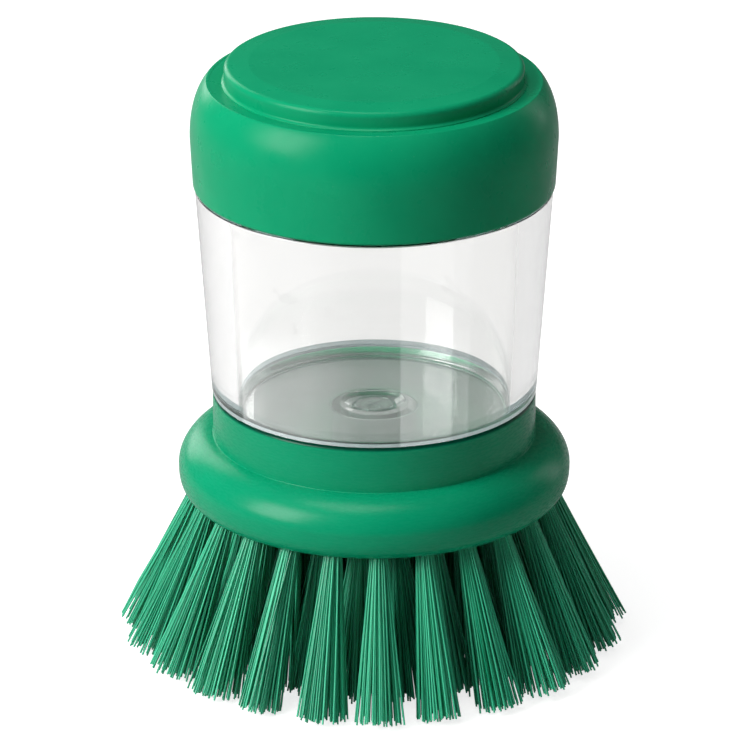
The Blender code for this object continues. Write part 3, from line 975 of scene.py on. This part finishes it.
@dataclass
class Bristles:
    """The three rows of tufts."""

    finish: Filament = field(default_factory=Filament)

    def build(self) -> None:
        """Makes one piece for each row, in place of the CAD's thick strands."""
        material = self.finish.material()
        for row in ROWS:
            mesh = row.mesh(self.finish.tint_attribute)
            piece = add_piece(row.name, mesh, material, row.nodes)
            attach(piece, Body.HEAD.value)


# Brush head


@dataclass
class BrushHead:
    """The green head: collar, bead and drilled plate."""

    collar_radius: float = 0.02675
    collar_top: float = 0.04370
    collar_edge: float = 0.0006
    bore_radius: float = 0.02540
    bore_edge: float = 0.0005
    bead_centre: Point = (0.02662, 0.03064)
    bead_reach: float = 0.00593
    bead_rise: float = 0.00536
    bead_drop: float = 0.00499
    bead_start: float = 84.0
    upper_power: float = 1.80
    upper_steps: int = 22
    lower_power: float = 3.07
    lower_steps: int = 20
    fillet_edge: float = 0.00035
    fillet_gap: float = 0.00002
    plate_top: float = 0.03315
    outlet_radius: float = 0.0076
    outlet_edge: float = 0.0006
    outlet_top_edge: float = 0.0003
    hole_sides: int = 20
    finish: SatinPlastic = field(default_factory=SatinPlastic)

    def outline(self) -> list[Point]:
        """The outline of the head.

        Returns:
            Points from the collar's top down the outside, along the underside, up the outlet and up the bore.
        """
        upper = superellipse(
            self.bead_centre,
            self.bead_reach,
            self.bead_rise,
            self.upper_power,
            self.bead_start,
            0,
            self.upper_steps,
        )
        lower = superellipse(
            self.bead_centre, self.bead_reach, self.bead_drop, self.lower_power, 0, -90, self.lower_steps
        )
        corners = [
            Corner(self.collar_radius, self.collar_top, self.collar_edge),
            Corner(self.collar_radius, upper[0].height + self.fillet_gap, self.fillet_edge),
            *upper,
            *lower[1:],
            Corner(self.outlet_radius, UNDERSIDE, self.outlet_edge),
            Corner(self.outlet_radius, self.plate_top, self.outlet_top_edge),
            Corner(self.bore_radius, self.plate_top, self.bore_edge),
            Corner(self.bore_radius, self.collar_top, self.bore_edge),
        ]
        return rounded(corners)

    def holes(self) -> bpy.types.Mesh:
        """All the tuft holes as one cutting mesh.

        Returns:
            A closed cylinder for each tuft of each row.
        """
        shape = bmesh.new()
        for row in ROWS:
            length = row.hole_depth + 2 * row.hole_radius
            middle = Matrix.Translation((0, 0, length / 2 - row.hole_depth))
            for index in range(row.tufts):
                bmesh.ops.create_cone(
                    shape,
                    cap_ends=True,
                    segments=self.hole_sides,
                    radius1=row.hole_radius,
                    radius2=row.hole_radius,
                    depth=length,
                    matrix=row.frame(index) @ middle,
                )
        return finish_mesh("tuft_holes", shape)

    def build(self) -> None:
        """Makes the head and rides it on its body."""
        mesh = turned_mesh("head_shell", self.outline())
        mesh = combined(mesh, self.holes(), Operation.CUT)
        piece = add_piece("head_shell", mesh, self.finish.material(), ["brush_head"])
        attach(piece, Body.HEAD.value)


# Clear container with its valve

SEAL_RUBBER = SoftRubber(name="seal_rubber", colour=(0.0, 0.24, 0.11), roughness=0.45, shine=0.2, dust=0.0)


@dataclass
class Tumbler:
    """The clear container, its outlet valve, the valve's retaining ring and the neck seal."""

    foot: float = 0.0440
    foot_radius: float = 0.02685
    foot_edge: float = 0.00015
    shoulder_radius: float = 0.02925
    shoulder: float = 0.0794
    neck_radius: float = 0.0270
    neck_top: float = 0.0874
    neck_bore: float = 0.0238
    neck_edge: float = 0.0005
    wall_radius: float = 0.0223
    corner_top: float = 0.0440
    corner_edge: float = 0.0010
    floor_radius: float = 0.0215
    floor_top: float = 0.0427
    floor_low: float = 0.0405
    floor_edge: float = 0.0008
    floor_low_edge: float = 0.0006
    spigot_radius: float = 0.0240
    spigot_bore: float = 0.0224
    spigot_low: float = 0.0346
    nozzle_radius: float = 0.0069
    nozzle_bore: float = 0.0056
    nozzle_low: float = 0.03155
    seat: float = 0.0409
    hole_radius: float = 0.0036
    rim_radius: float = 0.0052
    rim_drop: float = 0.0008
    rim_edge: float = 0.0005
    plain_edge: float = 0.0003
    fine_edge: float = 0.0002
    groove_radius: float = 0.0230
    groove_top: float = 0.0436
    groove_low: float = 0.0412
    thread_lead: float = 0.0080
    thread_turn: float = 150.0
    thread_low: float = 0.0357
    thread_crest: float = 0.0250
    thread_bite: float = 0.0003
    thread_root_half: float = 0.0008
    thread_crest_half: float = 0.0004
    thread_steps: int = 60
    clearance: float = 0.0003
    valve_top: float = 0.0422
    valve_crown: float = 0.00004
    valve_slope: float = 0.00015
    valve_skin: float = 0.0007
    valve_cup_radius: float = 0.0022
    flange_drop: float = 0.0013
    slit_size: tuple[float, float, float] = (0.0032, 0.00022, 0.0014)
    slit_depth: float = 0.00035
    retainer_drop: float = 0.0016
    retainer_height: float = 0.0024
    retainer_width: float = 0.0017
    small_steps: int = 96
    seal_offset: float = 0.0012
    seal_radius: float = 0.0009
    seal_sides: int = 16
    seal_steps: int = 128
    clear: ClearPlastic = field(default_factory=ClearPlastic)
    soft: Silicone = field(default_factory=Silicone)
    seal: SoftRubber = SEAL_RUBBER

    def outline(self) -> list[Point]:
        """The outline of the container.

        Returns:
            Points from the neck's top down the outside and up the inside.
        """
        corners = [
            Corner(self.neck_radius, self.neck_top, self.neck_edge),
            Corner(self.neck_radius, self.shoulder, self.plain_edge),
            Corner(self.shoulder_radius, self.shoulder, self.fine_edge),
            Corner(self.foot_radius, self.foot, self.foot_edge),
            Corner(self.spigot_radius, self.foot),
            Corner(self.spigot_radius, self.groove_top),
            Corner(self.groove_radius, self.groove_top),
            Corner(self.groove_radius, self.groove_low),
            Corner(self.spigot_radius, self.groove_low),
            Corner(self.spigot_radius, self.spigot_low, self.plain_edge),
            Corner(self.spigot_bore, self.spigot_low, self.plain_edge),
            Corner(self.spigot_bore, self.floor_low, self.floor_low_edge),
            Corner(self.nozzle_radius, self.floor_low, self.floor_low_edge),
            Corner(self.nozzle_radius, self.nozzle_low, self.plain_edge),
            Corner(self.nozzle_bore, self.nozzle_low, self.plain_edge),
            Corner(self.nozzle_bore, self.seat, self.fine_edge),
            Corner(self.hole_radius, self.seat, self.fine_edge),
            Corner(self.hole_radius, self.floor_top - self.rim_drop, self.plain_edge),
            Corner(self.rim_radius, self.floor_top, self.rim_edge),
            Corner(self.floor_radius, self.floor_top, self.floor_edge),
            Corner(self.wall_radius, self.corner_top, self.corner_edge),
            Corner(self.neck_bore, self.neck_top, self.neck_edge),
        ]
        return rounded(corners)

    def ridges(self) -> bpy.types.Mesh:
        """The two thread ridges of the spigot.

        Returns:
            Two closed helical ridges, half a turn apart.
        """
        shape = bmesh.new()
        root = self.spigot_radius - self.thread_bite
        section = (
            (root, -self.thread_root_half),
            (self.thread_crest, -self.thread_crest_half),
            (self.thread_crest, self.thread_crest_half),
            (root, self.thread_root_half),
        )
        climb = self.thread_lead * self.thread_turn / 360.0 / self.thread_steps
        for start in (0.0, math.pi):
            corners = [shape.verts.new((radius, 0, self.thread_low + rise)) for radius, rise in section]
            face = shape.faces.new(corners)
            bmesh.ops.rotate(shape, verts=corners, cent=ORIGIN, matrix=Matrix.Rotation(start, 3, "Z"))
            bmesh.ops.spin(
                shape,
                geom=[face, *face.edges, *face.verts],
                cent=ORIGIN,
                axis=UPWARDS,
                dvec=(0, 0, climb),
                angle=math.radians(self.thread_turn),
                steps=self.thread_steps,
            )
        bmesh.ops.recalc_face_normals(shape, faces=shape.faces)
        return finish_mesh("spigot_ridges", shape)

    def valve_mesh(self) -> bpy.types.Mesh:
        """The valve's disc and flange.

        Returns:
            A turned disc on a flange, with two crossed slits in it.
        """
        disc = self.hole_radius - self.clearance
        flange = self.nozzle_bore - self.clearance
        corners = [
            Corner(0, self.valve_top),
            Corner(disc / 2, self.valve_top - self.valve_crown),
            Corner(disc, self.valve_top - self.valve_slope, self.plain_edge),
            Corner(disc, self.seat - self.clearance),
            Corner(flange, self.seat - self.clearance, self.fine_edge),
            Corner(flange, self.seat - self.flange_drop, self.fine_edge),
            Corner(self.valve_cup_radius, self.seat - self.flange_drop, self.fine_edge),
            Corner(self.valve_cup_radius, self.valve_top - self.valve_skin),
            Corner(0, self.valve_top - self.valve_skin),
        ]
        points = rounded(corners, closed=False)
        mesh = turned_mesh("valve_disc", points, closed=False, steps=self.small_steps)
        shape = bmesh.new()
        bmesh.ops.create_cube(shape, size=1.0)
        bmesh.ops.scale(shape, vec=self.slit_size, verts=shape.verts)
        bmesh.ops.rotate(shape, verts=shape.verts, cent=ORIGIN, matrix=Matrix.Rotation(math.pi / 4, 3, "Z"))
        bmesh.ops.translate(shape, verts=shape.verts, vec=(0, 0, self.valve_top - self.slit_depth))
        slit = finish_mesh("valve_slit", shape)
        mesh = combined(mesh, slit, Operation.CUT)
        slit.transform(Matrix.Rotation(math.pi / 2, 4, "Z"))
        return combined(mesh, slit, Operation.CUT)

    def retainer_mesh(self) -> bpy.types.Mesh:
        """The ring below the valve.

        Returns:
            A turned ring in the nozzle's bore.
        """
        top = self.seat - self.retainer_drop
        low = top - self.retainer_height
        outer = self.nozzle_bore - self.clearance
        inner = outer - self.retainer_width
        corners = [
            Corner(outer, top, self.plain_edge),
            Corner(outer, low, self.plain_edge),
            Corner(inner, low, self.fine_edge),
            Corner(inner, top, self.fine_edge),
        ]
        return turned_mesh("retaining_ring", rounded(corners), steps=self.small_steps)

    def seal_mesh(self) -> bpy.types.Mesh:
        """The O-ring in the spigot's groove.

        Returns:
            A turned ring of round section.
        """
        centre = (self.groove_radius + self.seal_offset, (self.groove_top + self.groove_low) / 2)
        last = 360 / self.seal_sides
        ring = superellipse(centre, self.seal_radius, self.seal_radius, 2.0, 360, last, self.seal_sides - 1)
        return turned_mesh("seal_ring", rounded(ring), steps=self.seal_steps)

    def build(self) -> None:
        """Makes the container and the pieces that it carries."""
        clear = self.clear.material()
        soft = self.soft.material()
        seal = self.seal.material()
        retainer = self.retainer_mesh()
        tumbler = combined(turned_mesh("clear_tumbler", self.outline()), self.ridges(), Operation.JOIN)
        pieces = (
            (add_piece("clear_tumbler", tumbler, clear, ["container"]), Body.TUMBLER),
            (add_piece("valve_disc", self.valve_mesh(), soft, ["outlet_valve"]), Body.TUMBLER),
            (add_piece("retaining_ring", retainer, clear, ["valve_retainer"]), Body.TUMBLER),
            (add_piece("seal_ring", self.seal_mesh(), seal, ["neck_seal"]), Body.SEAL),
        )
        for piece, body in pieces:
            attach(piece, body.value)


# Rubber cap


@dataclass
class RubberCap:
    """The rubber cap: its domed skirt, the thin web and the raised button."""

    lip: float = 0.0797
    lip_radius: float = 0.02955
    lip_edge: float = 0.0005
    widest_radius: float = 0.02996
    dome_base: float = 0.08795
    dome_reach: float = 0.00622
    dome_rise: float = 0.01086
    dome_power: float = 2.2
    dome_top: float = 58.0
    dome_steps: int = 26
    crest_edge: float = 0.00022
    crest_slope: float = 0.00003
    bore: float = 0.0273
    bore_top: float = 0.0880
    bore_edge: float = 0.0003
    rim_radius: float = 0.02673
    ledge_low: float = 0.0943
    ledge_edge: float = 0.0004
    button_radius: float = 0.02433
    button_top: float = 0.10049
    flat_radius: float = 0.0203
    flat_slope: float = 0.00001
    flat_drop: float = 0.00004
    flat_edge: float = 0.0035
    crown_drop: float = 0.00045
    button_edge: float = 0.00090
    root_rise: float = 0.0002
    root_edge: float = 0.0004
    foot_radius: float = 0.02473
    foot_top_drop: float = 0.0001
    foot_top_edge: float = 0.0001
    foot_drop: float = 0.0011
    foot_edge: float = 0.0002
    button_bore: float = 0.0221
    button_bore_edge: float = 0.0003
    button_skin: float = 0.0023
    button_skin_edge: float = 0.0005
    web_tip: float = 0.0269
    web_tip_thickness: float = 0.0002
    web_root: float = 0.0244
    web_drop: float = 0.00006
    web_sink: float = 0.00022
    web_power: float = 1.5
    web_thickness: float = 0.0009
    web_steps: int = 8
    finish: SoftRubber = field(default_factory=SoftRubber)

    def dome(self) -> list[Corner]:
        """The dome's curve from the crest down to the skirt."""
        centre = (self.widest_radius - self.dome_reach, self.dome_base)
        return superellipse(
            centre, self.dome_reach, self.dome_rise, self.dome_power, self.dome_top, 0, self.dome_steps
        )

    def web_height(self) -> float:
        """The height of the web's outer edge, just under the dome's crest."""
        return self.dome()[0].height - self.web_drop

    def skirt_mesh(self) -> bpy.types.Mesh:
        """The domed skirt, open where the button sits.

        Returns:
            The turned skirt.
        """
        dome = self.dome()
        crest = dome[0]
        corners = [
            Corner(self.rim_radius, crest.height - self.crest_slope),
            Corner(crest.radius, crest.height, self.crest_edge),
            *dome[1:],
            Corner(self.lip_radius, self.lip, self.lip_edge),
            Corner(self.bore, self.lip, self.bore_edge),
            Corner(self.bore, self.bore_top, self.bore_edge),
            Corner(self.rim_radius, self.ledge_low, self.ledge_edge),
        ]
        return turned_mesh("cap_shell", rounded(corners))

    def button_mesh(self) -> bpy.types.Mesh:
        """The raised button, hollow below.

        Returns:
            The turned button.
        """
        crest = self.dome()[0].height
        skin = self.button_top - self.button_skin
        corners = [
            Corner(0, self.button_top),
            Corner(self.flat_radius / 2, self.button_top - self.flat_slope),
            Corner(self.flat_radius, self.button_top - self.flat_drop, self.flat_edge),
            Corner(self.button_radius, self.button_top - self.crown_drop, self.button_edge),
            Corner(self.button_radius, crest + self.root_rise, self.root_edge),
            Corner(self.foot_radius, crest - self.foot_top_drop, self.foot_top_edge),
            Corner(self.foot_radius, crest - self.foot_drop, self.foot_edge),
            Corner(self.button_bore, crest - self.foot_drop, self.button_bore_edge),
            Corner(self.button_bore, skin, self.button_skin_edge),
            Corner(0, skin),
        ]
        return turned_mesh("button_top", rounded(corners, closed=False), closed=False)

    def web_mesh(self) -> bpy.types.Mesh:
        """The thin ring between cap and button.

        Returns:
            The turned ring, thinnest where it joins the cap.
        """
        outer = self.web_height()
        low = outer - self.web_sink - self.web_thickness
        width = self.web_tip - self.web_root
        climb = outer - self.web_tip_thickness - low
        shares = [step / self.web_steps for step in range(self.web_steps + 1)]
        points = [
            (self.web_tip - width * share, outer - self.web_sink * share**self.web_power) for share in shares
        ]
        points += [(self.web_root + width * share, low + climb * share) for share in shares]
        return turned_mesh("flex_ring", points)

    def build(self) -> None:
        """Makes the cap's three pieces, with the web between the other two."""
        rubber = self.finish.material()
        cap = add_piece("cap_shell", self.skirt_mesh(), rubber, ["cap_skirt"])
        button = add_piece("button_top", self.button_mesh(), rubber, ["press_button"])
        web = add_piece("flex_ring", self.web_mesh(), rubber, ["flex_web"])
        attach(cap, Body.CAP.value)
        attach(button, Body.BUTTON.value)
        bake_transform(web)


# Studio and camera


@dataclass(frozen=True)
class Softbox:
    """A rectangular white lamp that faces the brush.

    Level is the brightness that it alone gives a white surface facing it.
    """

    name: str
    azimuth: float
    elevation: float
    distance: float
    width: float
    height: float
    level: float

    def build(self, target: Vector) -> None:
        """Places the lamp.

        Args:
            target: the point that it faces.
        """
        lamp = bpy.data.lights.new(self.name, "AREA")
        lamp.shape = "RECTANGLE"
        lamp.size = self.width
        lamp.size_y = self.height
        lamp.energy = self.level * (math.pi * self.distance) ** 2
        azimuth = math.radians(self.azimuth)
        elevation = math.radians(self.elevation)
        across = math.cos(elevation)
        away = Vector((math.sin(azimuth) * across, -math.cos(azimuth) * across, math.sin(elevation)))
        holder = new_object(self.name, lamp)
        holder.location = target + away * self.distance
        holder.rotation_mode = "QUATERNION"
        holder.rotation_quaternion = away.to_track_quat("Z", "Y")


@dataclass
class Studio:
    """A plain white studio: a pale floor, four softboxes and a white world.

    The floor glows for the eye, with distance up to white. In mirrors it glows in panels, which are stops of
    bearing and level round the brush. They are brightest within near_reach of it, and rough gloss gets only
    soft_share of them. The world is darker on the front in gloss and through clear pieces.
    """

    target: Vector = field(default_factory=lambda: Vector((0, 0, 0.05)))
    floor_size: float = 6.0
    floor_colour: Colour = (0.50, 0.50, 0.50)
    floor_roughness: float = 0.9
    floor_glow: float = 0.78
    fade_from: float = 0.25
    fade_to: float = 0.80
    through_glow: float = 0.49
    near_panel: float = 2.5
    far_panel: float = 0.85
    soft_share: float = 0.08
    near_reach: float = 0.132
    far_reach: float = 0.142
    panels: tuple[tuple[float, float], ...] = (
        (-180.0, 0.0),
        (-97.1, 0.0),
        (-96.9, 1.0),
        (-42.0, 1.0),
        (-9.0, 0.0),
        (16.6, 0.0),
        (16.8, 1.0),
        (50.4, 1.0),
        (50.6, 0.45),
        (61.9, 0.45),
        (62.1, 0.04),
    )
    ambient: float = 0.14
    gloss_front: float = 0.02
    gloss_back: float = 0.09
    through_front: float = 0.35
    world_front: float = -0.5
    world_back: float = 0.45
    softboxes: tuple[Softbox, ...] = (
        Softbox("key_softbox", -62.0, 32.0, 0.9, 0.45, 0.55, 1.18),
        Softbox("top_softbox", -60.0, 82.0, 0.9, 0.40, 0.40, 0.37),
        Softbox("right_rim_softbox", 128.0, 10.0, 0.9, 0.20, 0.60, 0.07),
        Softbox("left_rim_softbox", -150.0, 20.0, 0.9, 0.30, 0.60, 0.24),
    )

    def panel_light(self, graph: Graph, away: Socket) -> Socket:
        """The floor's glow in mirrors.

        Args:
            graph: the floor's graph.
            away: the distance from the brush.

        Returns:
            The brightness of the panels, by bearing and distance.
        """
        place = graph.axes()
        bearing = graph.maths("ARCTAN2", place["X"], graph.maths("MULTIPLY", place["Y"], -1.0))
        ramp = graph.node("ValToRGB", {0: graph.spread(bearing, -math.pi, math.pi, 0.0, 1.0)})
        stops = ramp.color_ramp.elements
        stops.remove(stops[-1])
        for index, (angle, level) in enumerate(self.panels):
            stop = stops.new((angle + 180.0) / 360.0) if index else stops[0]
            stop.color = (level, level, level, 1.0)
        fade = graph.spread(away, self.near_reach, self.far_reach, self.near_panel, self.far_panel)
        return graph.maths("MULTIPLY", ramp.outputs["Color"], fade)

    def floor(self) -> None:
        """Makes the floor: white to the eye, bright panels in mirrors, and with the shadow kept."""
        shape = bmesh.new()
        bmesh.ops.create_grid(shape, x_segments=1, y_segments=1, size=self.floor_size / 2)
        mesh = finish_mesh("studio_floor", shape)
        graph = MaterialGraph("studio_floor")
        rays = graph.node("LightPath").outputs
        away = graph.length(graph.place)
        sharp = graph.spread(rays["Is Singular Ray"], 0.0, 1.0, self.soft_share, 1.0)
        mirror = graph.maths("MULTIPLY", rays["Is Glossy Ray"], sharp)
        mirrored = graph.maths("MULTIPLY", mirror, self.panel_light(graph, away))
        through = graph.scalar_mix(rays["Is Transmission Ray"], mirrored, self.through_glow)
        seen = graph.spread(away, self.fade_from, self.fade_to, self.floor_glow, 1.0)
        glow = graph.scalar_mix(rays["Is Camera Ray"], through, seen)
        graph.shade(Base_Color=(*self.floor_colour, 1.0), Roughness=self.floor_roughness)
        graph.shade(Emission_Color=(1.0, 1.0, 1.0, 1.0), Emission_Strength=glow)
        graph.shader.inputs["Specular IOR Level"].default_value = 0.0
        mesh.materials.append(graph.material)
        floor = new_object("studio_floor", mesh)

    def world(self) -> None:
        """Makes the world: white to the eye, darker on the front in gloss and through clear pieces."""
        world = bpy.data.worlds.new("white_studio")
        world.use_nodes = True
        bpy.context.scene.world = world
        graph = Graph(world.node_tree, "Generated")
        rays = graph.node("LightPath").outputs
        front_to_back = graph.axes()["Y"]
        gloss, through = (
            graph.spread(
                front_to_back, self.world_front, self.world_back, front, back, interpolation_type="SMOOTHSTEP"
            )
            for front, back in ((self.gloss_front, self.gloss_back), (self.through_front, 1.0))
        )
        level: object = self.ambient
        levels = {"Is Glossy Ray": gloss, "Is Transmission Ray": through, "Is Camera Ray": 1.0}
        for ray, value in levels.items():
            level = graph.scalar_mix(rays[ray], level, value)
        background = graph.tree.nodes["Background"]
        background.inputs["Color"].default_value = (1.0, 1.0, 1.0, 1.0)
        graph.feed(background.inputs["Strength"], level)

    def build(self) -> None:
        """Makes the floor, the lamps and the world."""
        self.floor()
        self.world()
        for softbox in self.softboxes:
            softbox.build(self.target)
        bpy.context.scene.view_settings.view_transform = "Standard"


@dataclass(frozen=True)
class PhotoCamera:
    """The camera at the photograph's viewing angle, which looks down on the front of the brush."""

    position: tuple[float, float, float] = (0.0, -0.7733, 0.3633)
    down: float = 22.33
    aside: float = -0.009
    lens_mm: float = 242.5
    sensor_mm: float = 36.0
    clip_start: float = 0.01
    clip_end: float = 20.0

    def build(self) -> None:
        """Makes the camera the scene's own."""
        data = bpy.data.cameras.new("photo_camera")
        data.lens = self.lens_mm
        data.sensor_width = self.sensor_mm
        data.clip_start = self.clip_start
        data.clip_end = self.clip_end
        camera = new_object("photo_camera", data)
        camera.location = self.position
        camera.rotation_euler = (math.radians(90.0 - self.down), 0, math.radians(self.aside))
        bpy.context.scene.camera = camera


def main() -> None:
    """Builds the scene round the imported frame."""
    logging.basicConfig(level=logging.INFO, format="%(name)s: %(message)s")
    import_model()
    PhotoCamera().build()
    Studio().build()
    BrushHead().build()
    Bristles().build()
    Tumbler().build()
    RubberCap().build()


if __name__ == "__main__":
    main()
